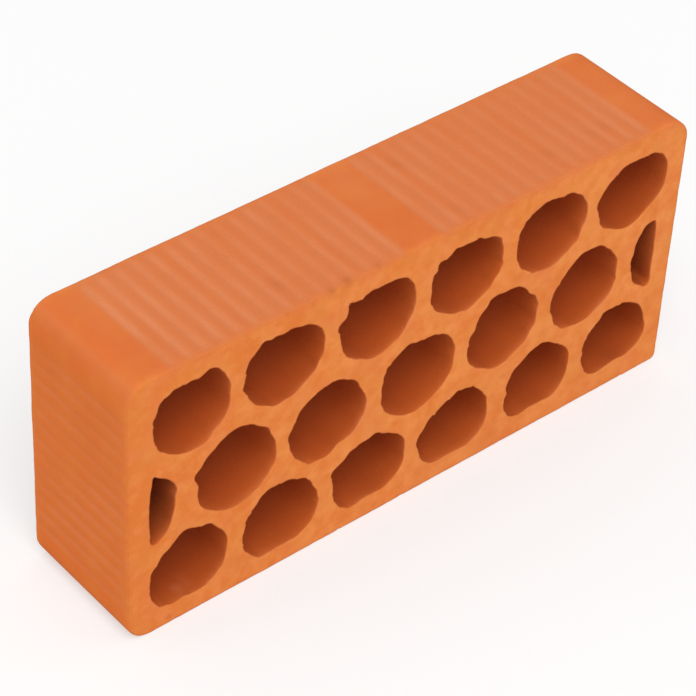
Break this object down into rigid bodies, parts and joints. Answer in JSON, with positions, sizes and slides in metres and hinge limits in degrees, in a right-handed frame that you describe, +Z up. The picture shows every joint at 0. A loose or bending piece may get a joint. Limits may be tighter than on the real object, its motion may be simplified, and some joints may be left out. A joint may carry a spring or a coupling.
{
  "type": "perforated clay brick",
  "caption": "Extruded clay brick with honeycomb perforations, scored side faces and rounded long edges, standing on its long narrow side.",
  "frame": {"origin": "on the floor under the middle of the brick, which stands on its long narrow side", "axes": "+X along the length, +Y along the extrusion with the perforated bed faces looking to -Y and +Y, +Z up"},
  "size_m": [0.24, 0.052, 0.11],
  "materials": {
    "fired_clay": "matt fired clay, orange terracotta"
  },
  "bodies": {
    "root": {"brick": "fired_clay"}
  },
  "joints": []
}
